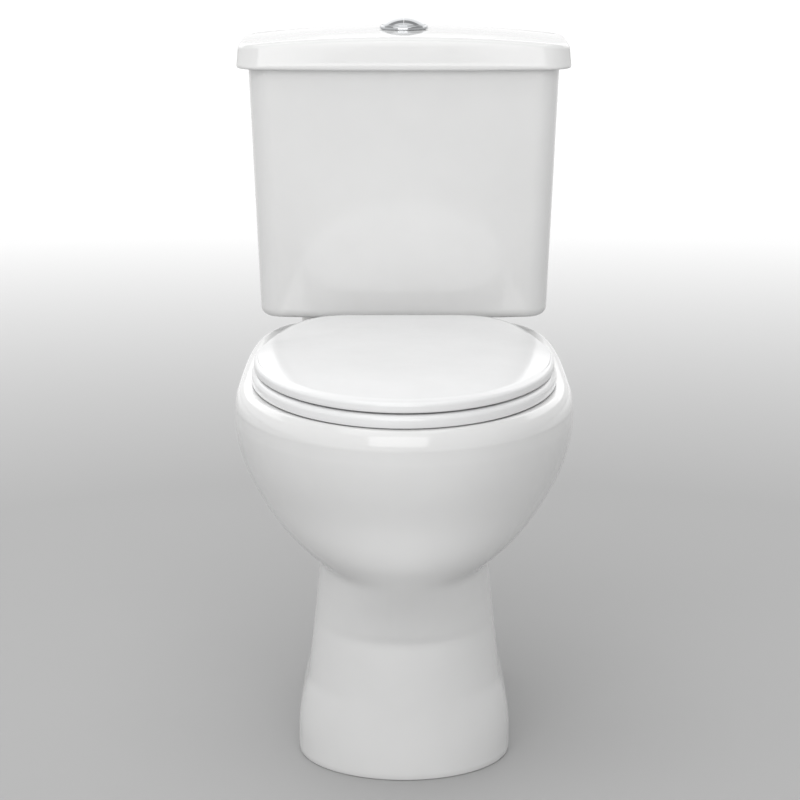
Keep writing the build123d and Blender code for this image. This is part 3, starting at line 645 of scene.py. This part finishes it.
def rounded_bar(half_width, half_height, z, depths, square):
    """A bar along the depth with rounded corners and rounded ends."""
    start, end = depths
    reach = 8.0
    length = end - start - 2 * reach
    rows = [(start + reach * (1 - cos(t)), reach * (1 - sin(t))) for t in steps(5)]
    rows += [(start + reach + length * i / 40, 0) for i in range(1, 40)]
    rows += [(end - reach + reach * sin(t), reach * (1 - cos(t))) for t in steps(5)]
    return skin("bar", [bar_ring(half_width, half_height, z, depth, square, inset) for depth, inset in rows])


def floor_lug(side):
    """The round pad under a floor screw."""
    profile = [(4, 0), (LUG_RADIUS, 0), (LUG_RADIUS, LUG_HEIGHT - 5)]
    profile += [(LUG_RADIUS - 4 * (1 - cos(t)), LUG_HEIGHT - 4 + 4 * sin(t)) for t in steps(4)]
    profile += [(3, LUG_HEIGHT)]
    return turned("lug", side * LUG_X, LUG_DEPTH, profile, 64)


def flattened(value):
    """A sine or cosine cut off near its peaks, which turns a circle into a rounded square."""
    return max(-1, min(1, 1.3 * value))


def lug_bridge(side):
    """Joins a floor lug to the foot."""
    rings = []
    for x in range(70, 96, 3):
        ring = []
        for i in range(64):
            a = 2 * pi * i / 64
            ring.append((side * x, y_at(438) + 14 * flattened(cos(a)), 6.6 + 6.5 * flattened(sin(a))))
        rings.append(ring)
    return skin("bridge", rings)


def make_pan():
    """Bowl, rim, deck and foot as one skin, then the trap, the water duct, the web and the lugs."""
    pan = skin("pan", foot_rings() + wall_rings() + flange_rings() + rim_rings() + bowl_rings())
    combine(pan, trap_tube(341, OUTLET_END, spigot_radius), "UNION")
    combine(pan, rounded_bar(48, 31, 349, (406, 604), 5), "UNION")
    combine(pan, rounded_bar(9, 60, 268, (402, 560), 6), "UNION")
    for side in (-1, 1):
        combine(pan, floor_lug(side), "UNION")
        combine(pan, lug_bridge(side), "UNION")
    soften(pan, lambda p: p.y > 0.06 and 0.02 < p.z < 0.374, 0.018, 60)
    combine(pan, trap_tube(296, OUTLET_END + 5, bore_radius), "DIFFERENCE")
    combine(pan, rounded_bar(36, 27, 357, (388, 592), 5), "DIFFERENCE")
    drill(pan, 0, VALVE_DEPTH, 340, 405, 36)
    for side in (-1, 1):
        drill(pan, side * HINGE_X, HINGE_DEPTH, 362, 405, 5.5)
        drill(pan, side * COUPLING_X, VALVE_DEPTH, 362, 405, 6)
        drill(pan, side * LUG_X, LUG_DEPTH, -5, 20, 4.5)
    return pan


# ---- cistern and lid ----

def box_outline(half_width, front, back, bow, corner, back_corner):
    """Rounded rectangle with a bowed front: one half from the middle of the back, then its mirror image."""
    front_y = y_at(front)
    back_y = y_at(back)
    big = (half_width ** 2 + bow ** 2) / (2 * bow)
    big_y = front_y - bow + big
    corner_y = big_y - sqrt((big - corner) ** 2 - (half_width - corner) ** 2)
    lean = asin((half_width - corner) / (big - corner))
    turn_x = half_width - back_corner
    turn_y = back_y - back_corner
    half = [(turn_x * i / 14, back_y) for i in range(14)]
    for i in range(10):
        a = pi / 2 * (1 - i / 9)
        half.append((turn_x + back_corner * cos(a), turn_y + back_corner * sin(a)))
    half += [(half_width, turn_y + (corner_y - back_y + back_corner) * i / 14) for i in range(1, 14)]
    for i in range(14):
        a = -(pi / 2 - lean) * i / 13
        half.append((half_width - corner + corner * cos(a), corner_y + corner * sin(a)))
    for i in range(1, 31):
        a = lean * (1 - i / 30)
        half.append((big * sin(a), big_y - big * cos(a)))
    return half + [(-x, y) for x, y in half[-2:0:-1]]


def tank_outline(z, inset=0.0):
    """Outside of the tank, which widens from its floor to its top."""
    t = (z - TANK_UNDER) / (TANK_TOP - TANK_UNDER)
    half_width = TANK_BOTTOM_HALF_WIDTH + (TANK_TOP_HALF_WIDTH - TANK_BOTTOM_HALF_WIDTH) * t - inset
    front = TANK_BOTTOM_FRONT + (TANK_TOP_FRONT - TANK_BOTTOM_FRONT) * t + inset
    back_corner = max(BACK_CORNER - inset, 4)
    return box_outline(half_width, front, BACK - inset, TANK_BOW, TANK_CORNER - inset, back_corner)


def make_cistern():
    """From the middle of the inner floor, up the inside, over the edge and down the outside."""
    inset = TANK_WALL + 6
    fillet_z = TANK_FLOOR + 6
    edge = lift(tank_outline(TANK_FLOOR, inset), TANK_FLOOR)
    middle = lift(tank_outline(TANK_FLOOR, 80), TANK_FLOOR)
    rings = [between(edge, middle, t) for t in (1.0, 0.5)]
    rings += [lift(tank_outline(fillet_z, inset - 6 * sin(t)), fillet_z - 6 * cos(t)) for t in steps(5)]
    rings += [lift(tank_outline(z, TANK_WALL), z) for z in range(446, 720, 12)]
    lip_z = TANK_TOP - 3
    rings += [lift(tank_outline(lip_z, 6 + 3 * cos(t)), lip_z + 3 * sin(t)) for t in steps(4)]
    rings += [lift(tank_outline(lip_z, 3 - 3 * sin(t)), lip_z + 3 * cos(t)) for t in steps(4)]
    rings += [lift(tank_outline(z), z) for z in range(716, 430, -4)]
    edge_z = TANK_UNDER + 12
    rings += [lift(tank_outline(edge_z, 12 * (1 - cos(t))), edge_z - 12 * sin(t)) for t in steps(9)]
    rings += [lift(tank_outline(TANK_UNDER, 60), TANK_UNDER)]
    tank = skin("cistern_body", rings)
    drill(tank, 0, VALVE_DEPTH, 410, 440, 31)
    drill(tank, FILL_X, FILL_DEPTH, 410, 440, 11.5)
    for side in (-1, 1):
        drill(tank, side * COUPLING_X, VALVE_DEPTH, 410, 440, 5.5)
        wall_drill(tank, side * WALL_HOLE_X, WALL_HOLE_Z, 4)
    return tank


def lid_outline(z, inset=0.0):
    """Outside of the lid, slightly narrower towards the top."""
    t = (z - LID_UNDER) / LID_TAPER_HEIGHT
    half_width = LID_HALF_WIDTH - LID_TAPER * t - inset
    front = LID_FRONT + LID_TAPER * t + inset
    back_corner = max(BACK_CORNER - inset, 3)
    return box_outline(half_width, front, BACK - inset, LID_BOW, LID_CORNER - inset, back_corner)


def lid_height(x, y, drop=0.0):
    """Top of the lid: an arch from side to side, and a slighter crown from front to back."""
    arch = LID_ARCH_RADIUS - sqrt(LID_ARCH_RADIUS ** 2 - x ** 2)
    return LID_CROWN - arch - 2.5 * ((y - y_at(VALVE_DEPTH)) / 90) ** 2 - drop


def draped(outline, drop=0.0):
    """An outline laid on the top of the lid, or a drop below it."""
    return [(x, y, lid_height(x, y, drop)) for x, y in outline]


def hole_circle(radius, outline):
    """A circle round the button hole whose points match an outline's by direction."""
    middle = y_at(VALVE_DEPTH)
    points = []
    for x, y in outline:
        reach = sqrt(x ** 2 + (y - middle) ** 2)
        points.append((radius * x / reach, middle + radius * (y - middle) / reach))
    return points


def rebate_outline(grow):
    """Room in the lid for the top of the tank; the thin wall this leaves at the rear is cut away later."""
    rear = y_at(BACK - 7 + grow)
    return [(x, min(y, rear)) for x, y in tank_outline(TANK_TOP, -grow)]


def make_lid():
    """From the button hole out along the underside, down and round the skirt, and back over the top."""
    edge = 7.0
    roof = 12
    hollow = tank_outline(TANK_TOP, 12)
    corner = tank_outline(TANK_TOP, 16)
    hole = hole_circle(BUTTON_HOLE, hollow)
    rings = [draped(between(hole, corner, t), roof) for t in (0.0, 0.2, 0.4, 0.6, 0.8, 1.0)]
    for t in (0.0, 0.5, 1.0):
        rings.append([(x, y, lid_height(x, y, roof + 4) * (1 - t) + TANK_TOP * t) for x, y in hollow])
    rings += [lift(rebate_outline(1.5), z) for z in (TANK_TOP, TANK_TOP - 3, LID_UNDER + 1.5)]
    rings += [lift(rebate_outline(2.5), LID_UNDER), lift(lid_outline(LID_UNDER, 3), LID_UNDER)]
    rings += [lift(lid_outline(LID_UNDER, 3 * (1 - sin(t))), LID_SKIRT_Z - 3 * cos(t)) for t in steps(5)[1:]]
    skirt = lid_outline(LID_SKIRT_Z)
    rim = lid_outline(LID_EDGE_Z)
    middle = y_at(VALVE_DEPTH)
    tops = [lid_height(x * 0.96, middle + (y - middle) * 0.92) - edge for x, y in rim]
    for step in range(1, 9):
        t = step / 8
        ring = []
        for (x, y), (u, v), top in zip(skirt, rim, tops):
            ring.append((x + (u - x) * t, y + (v - y) * t, LID_SKIRT_Z + (top - LID_SKIRT_Z) * t))
        rings.append(ring)
    for t in steps(8)[1:]:
        shrunk = lid_outline(LID_EDGE_Z, edge * (1 - cos(t)))
        rings.append([(x, y, top + edge * sin(t)) for (x, y), top in zip(shrunk, tops)])
    crown = lid_outline(LID_EDGE_Z, edge + 6)
    hole = hole_circle(BUTTON_HOLE, crown)
    rings += [draped(between(crown, hole, t)) for t in (0.0, 0.12, 0.26, 0.42, 0.58, 0.74, 0.88, 0.96)]
    rings.append(draped(hole, 0.8))
    lid = skin("cistern_cover", rings, looped=True)
    near = y_at(BACK - 10)
    far = y_at(BACK + 4)
    rear = [lift([(-202, near), (202, near), (202, far), (-202, far)], z) for z in (711, TANK_TOP)]
    combine(lid, skin("rear", rear), "DIFFERENCE")
    return lid


# ---- seat ----

def seat_outline(half_width, front, back, grow=0.0):
    """Outside of the ring or the cover: round in front, tapering to a straight rear edge."""
    return egg(half_width + grow, front - grow, SEAT_MIDDLE, back + grow, SEAT_SQUARENESS, SEAT_TAPER, 1.8)


def ring_outline(grow=0.0):
    return seat_outline(RING_HALF_WIDTH, RING_FRONT, RING_BACK, grow)


def ring_hole(grow=0.0):
    """Opening of the seat ring."""
    return egg(108.0 + grow, 68.0 - grow, 215.0, 345.0 + grow, 2.3)


def cover_outline(grow=0.0):
    return seat_outline(COVER_HALF_WIDTH, COVER_FRONT, COVER_BACK, grow)


def knuckle(x_low, x_high, shape):
    """A hinge ear: its side view, (depth, z) points, carried along X with rounded edges."""
    rings = []
    middle_d = sum(d for d, _ in shape) / len(shape)
    middle_z = sum(z for _, z in shape) / len(shape)
    for x, share in ((x_low, 0.9), (x_low + 0.8, 1.0), (x_high - 0.8, 1.0), (x_high, 0.9)):
        rings.append([(x, y_at(middle_d + (d - middle_d) * share), middle_z + (z - middle_z) * share)
                      for d, z in shape])
    return skin("ear", rings)


def arc_points(first, last):
    """Points on the round end of an ear, about the hinge pin, between two directions in degrees."""
    angles = [radians(first + (last - first) * i / 24) for i in range(25)]
    return [(HINGE_DEPTH + EAR_RADIUS * cos(a), HINGE_Z + EAR_RADIUS * sin(a)) for a in angles]


def make_seat_ring():
    """Up the outer edge, over the top, down the opening and back under, then the two hinge ears."""
    rings = [lift(ring_outline(-1.5 * (1 - sin(t))), 402.5 - 1.5 * cos(t)) for t in steps(3)]
    rings += [lift(ring_outline(), 406)]
    rings += [lift(ring_outline(-6.5 * (1 - cos(t))), 408.5 + 6.2 * sin(t)) for t in steps(8)]
    outer = lift(ring_outline(-9), 414.9)
    inner = lift(ring_hole(9), 414.6)
    rings += [between(outer, inner, t) for t in (0.0, 0.2, 0.4, 0.6, 0.8, 1.0)]
    rings += [lift(ring_hole(6 * (1 - sin(t))), 408.2 + 6 * cos(t)) for t in steps(8)]
    rings += [lift(ring_hole(), 405)]
    rings += [lift(ring_hole(1.5 * (1 - cos(t))), 403.5 - 1.5 * sin(t)) for t in steps(3)]
    rings += [lift(ring_hole(3.5), z) for z in (402.3, 410)]
    rings += [lift(ring_hole(5), 411), lift(ring_outline(-5), 411)]
    rings += [lift(ring_outline(-3.5), z) for z in (410, 401.3)]
    seat = skin("seat_moulding", rings, looped=True)
    side_view = arc_points(90, -90) + [(419, 412), (401, 412), (401, 417.5), (419, 426)]
    for side in (-1, 1):
        low, high = sorted((side * (HINGE_X + 7.7), side * (HINGE_X + 7.7 + EAR_WIDTH)))
        combine(seat, knuckle(low, high, side_view), "UNION")
        cross_drill(seat, low - 1, high + 1, HINGE_DEPTH, HINGE_Z, PIN_BORE)
    return seat


def hinge_rise(y):
    """0 over the front of the cover, growing to 1 at its straight rear edge."""
    return smooth_step((y - y_at(300)) / 130.0)


def crowned(share, top):
    """A ring of the cover's domed face, which stays high towards the hinges."""
    middle = y_at(SEAT_MIDDLE)
    ring = []
    for x, y in cover_outline():
        u, v = x * share, middle + (y - middle) * share
        ring.append((u, v, top - 8.2 * share ** 5 * (1 - 0.86 * hinge_rise(v))))
    return ring


def slot_box(x_low, x_high):
    """Room for a hinge in the rear skirt of the cover."""
    near = y_at(424)
    far = y_at(456)
    corners = [(x_low, near), (x_high, near), (x_high, far), (x_low, far)]
    return skin("slot", [lift(corners, z) for z in (412, 433)])


def make_seat_cover():
    """From the middle of the inner face, round the skirt and over the top, then the hinge slots and ears."""
    edge = cover_outline()
    rings = [crowned(share, COVER_TOP - COVER_WALL) for share in (0.1, 0.3, 0.5, 0.65, 0.78, 0.88, 0.93)]
    rings += [lift(cover_outline(-5.5), z) for z in (424, 418)]
    rings += [lift(cover_outline(-4), 416.5)]
    rings += [lift(cover_outline(-2 * (1 - sin(t))), 418.5 - 2 * cos(t)) for t in steps(4)]
    rings += [lift(edge, z) for z in (420, 421.5, COVER_EDGE_Z)]
    for t in steps(9)[1:-1]:
        inset = cover_outline(-4.5 * (1 - cos(t)))
        rings.append([(x, y, COVER_EDGE_Z + (4.5 + 7.0 * hinge_rise(y)) * sin(t)) for x, y in inset])
    for share in (0.972, 0.95, 0.92, 0.88, 0.83, 0.77, 0.7, 0.6, 0.48, 0.35, 0.2, 0.08):
        rings.append(crowned(share, COVER_TOP))
    cover = skin("cover_moulding", rings)
    side_view = arc_points(0, -180) + [(426, 433.8), (438, 433.8)]
    for side in (-1, 1):
        low, high = sorted((side * (HINGE_X - 21.5), side * (HINGE_X + 21.5)))
        combine(cover, slot_box(low, high), "DIFFERENCE")
    for side in (-1, 1):
        low, high = sorted((side * (HINGE_X - 7.7 - EAR_WIDTH), side * (HINGE_X - 7.7)))
        combine(cover, knuckle(low, high, side_view), "UNION")
        cross_drill(cover, low - 1, high + 1, HINGE_DEPTH, HINGE_Z, PIN_BORE)
    return cover


def make_cover_pads():
    """Soft pads under the cover, up to its inner face."""
    pads = None
    for x, depth in ((126, 165), (108, 340), (-126, 165), (-108, 340)):
        profile = [(2, 415)] + [(4.6 + 1.4 * sin(t), 416.4 - 1.4 * cos(t)) for t in steps(4)] + [(6, 431.2)]
        pad = turned("cover_pads", x, depth, profile, 48)
        if pads is None:
            pads = pad
        else:
            combine(pads, pad, "UNION")
    return pads


# ---- flush button ----

def make_bezel():
    """A thin sleeve in the lid's hole with a rounded collar on top."""
    profile = [(25.9, 722), (25.9, LID_CROWN), (28.0, LID_CROWN), (28.5, 757.4), (28.6, 758.4), (28.3, 759.6),
               (27.6, 760.8), (26.8, 761.5), (26.3, 761.7), (26.0, 761.5), (25.85, 761.0), (25.85, 724)]
    return skin("bezel_ring", [circle(radius, 0, VALVE_DEPTH, z, 128) for radius, z in profile], looped=True)


def make_button(side, name):
    """Half of a shallow dome, cut down the middle."""
    profile = [(10, 749), (25.3, 749), (25.4, 762.0)]
    for i in range(1, 31):
        radius = BUTTON_RADIUS * cos(pi / 2 * i / 30.5)
        profile.append((radius, DOME_TOP - DOME_RADIUS + sqrt(DOME_RADIUS ** 2 - radius ** 2)))
    button = turned(name, 0, VALVE_DEPTH, profile, 128)
    far = side * -40
    near = side * BUTTON_SPLIT
    front = y_at(VALVE_DEPTH - 35)
    back = y_at(VALVE_DEPTH + 35)
    corners = [(far, front), (near, front), (near, back), (far, back)]
    combine(button, skin("half", [lift(corners, z) for z in (740, 775)]), "DIFFERENCE")
    return button


def make_spring(side, name):
    """Coil round the rod of a button half."""
    turns = SPRING_LENGTH / SPRING_PITCH
    count = int(turns * 40)
    rings = []
    for i in range(count + 1):
        a = 2 * pi * turns * i / count
        z = SPRING_FOOT + SPRING_LENGTH * i / count
        ring = []
        for j in range(10):
            b = 2 * pi * j / 10
            r = SPRING_RADIUS + WIRE_RADIUS * cos(b)
            ring.append((side * ROD_X + r * cos(a), y_at(VALVE_DEPTH) + r * sin(a), z + WIRE_RADIUS * sin(b)))
        rings.append(ring)
    return skin(name, rings)


# ---- put the pieces in place ----

def place(piece, body, slot, *stands_for):
    """Gives a piece its material, its body, and the CAD nodes it replaces."""
    dress(piece, slot)
    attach(piece, body)
    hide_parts(*stands_for)


place(make_pan(), "base", "china", "pan_rim", "pan_bowl", "pan_sump", "pan_foot", "pan_trap")
place(make_cistern(), "base", "china", "cistern")
place(make_lid(), "lid", "china", "cistern_lid")
place(make_seat_ring(), "seat", "seat_plastic", "seat_ring")
place(make_seat_cover(), "cover", "seat_plastic", "seat_cover")
place(make_cover_pads(), "cover", "soft_pad", "cover_bumpers")
place(make_bezel(), "lid", "button_chrome", "button_bezel")
for side, which in ((1, "full"), (-1, "half")):
    place(make_button(side, "press_cap_" + which), which + "_button", "button_chrome", "button_" + which)
    spring = make_spring(side, "press_spring_" + which)
    place(spring, "lid", "steel", "button_spring_" + which)
    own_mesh(spring)


# ---- floor, light and camera ----

def area_light(name, position, target, size, power):
    light = bpy.data.lights.new(name, "AREA")
    light.shape = "RECTANGLE"
    light.size, light.size_y = size
    light.energy = power
    obj = bpy.data.objects.new(name, light)
    obj.location = position
    obj.rotation_euler = (Vector(target) - Vector(position)).to_track_quat("-Z", "Y").to_euler()
    bpy.context.scene.collection.objects.link(obj)


def sky(left, right, horizon, zenith):
    """Soft surround: brighter at the horizon than overhead, and on the left than on the right."""
    world = bpy.data.worlds.new("studio")
    world.use_nodes = True
    tree = world.node_tree
    coords = tree.nodes.new("ShaderNodeTexCoord")
    split = tree.nodes.new("ShaderNodeSeparateXYZ")
    tree.links.new(coords.outputs["Generated"], split.inputs["Vector"])
    shade = ramp(tree, split.outputs["Z"], 0.05, 0.75, (horizon, horizon, horizon), (zenith, zenith, zenith))
    tree.links.new(shade, tree.nodes["Background"].inputs["Color"])
    across = span(tree, split.outputs["X"], left, right)
    across.node.inputs["From Min"].default_value = -1.0
    tree.links.new(across, tree.nodes["Background"].inputs["Strength"])
    bpy.context.scene.world = world


def studio():
    sky(left=1.17, right=0.86, horizon=1.0, zenith=0.52)
    area_light("overhead", (-0.3, -0.85, 2.1), (0, 0, 0.35), (2.2, 1.8), 9.0)
    area_light("front", (-0.3, -3.4, 1.9), (0, 0, 0.7), (3.2, 2.2), 46.0)
    area_light("top", (0, 0.1, 2.6), (0, 0, 0.4), (2.0, 2.0), 10.0)
    area_light("far_floor", (0, 8.0, 3.2), (0, 8.0, 0), (16.0, 11.0), 520.0)


def floor():
    """A pale floor with painted shade: darker near the toilet, which also sends less light back up onto the
    underside of the bowl.
    """
    bpy.ops.mesh.primitive_plane_add(size=60)
    plane = bpy.context.object
    plane.name = "floor"
    material, tree, shader = new_material("floor")
    coords = tree.nodes.new("ShaderNodeTexCoord")
    distance = tree.nodes.new("ShaderNodeVectorMath")
    distance.operation = "LENGTH"
    tree.links.new(coords.outputs["Object"], distance.inputs[0])
    quarter = tree.nodes.new("ShaderNodeMath")
    quarter.operation = "MULTIPLY"
    quarter.inputs[1].default_value = 0.25
    tree.links.new(distance.outputs["Value"], quarter.inputs[0])
    # painted shade: the floor's colour is darkest within about a metre of the toilet and grows paler out to
    # about 3.4 m
    color = ramp(tree, quarter.outputs["Value"], 0.26, 0.85, (0.41, 0.41, 0.41), (0.80, 0.80, 0.80))
    tree.links.new(color, shader.inputs["Base Color"])
    shader.inputs["Roughness"].default_value = 0.8
    plane.data.materials.append(material)


def camera():
    data = bpy.data.cameras.new("camera")
    data.lens = 120.3
    data.sensor_width = 36.0
    obj = bpy.data.objects.new("camera", data)
    obj.location = (-0.0045, -2.95, 1.022)
    obj.rotation_euler = (radians(90 - 12.67), 0, 0)
    bpy.context.scene.collection.objects.link(obj)
    bpy.context.scene.camera = obj


floor()
studio()
camera()
bpy.context.scene.view_settings.view_transform = "Standard"
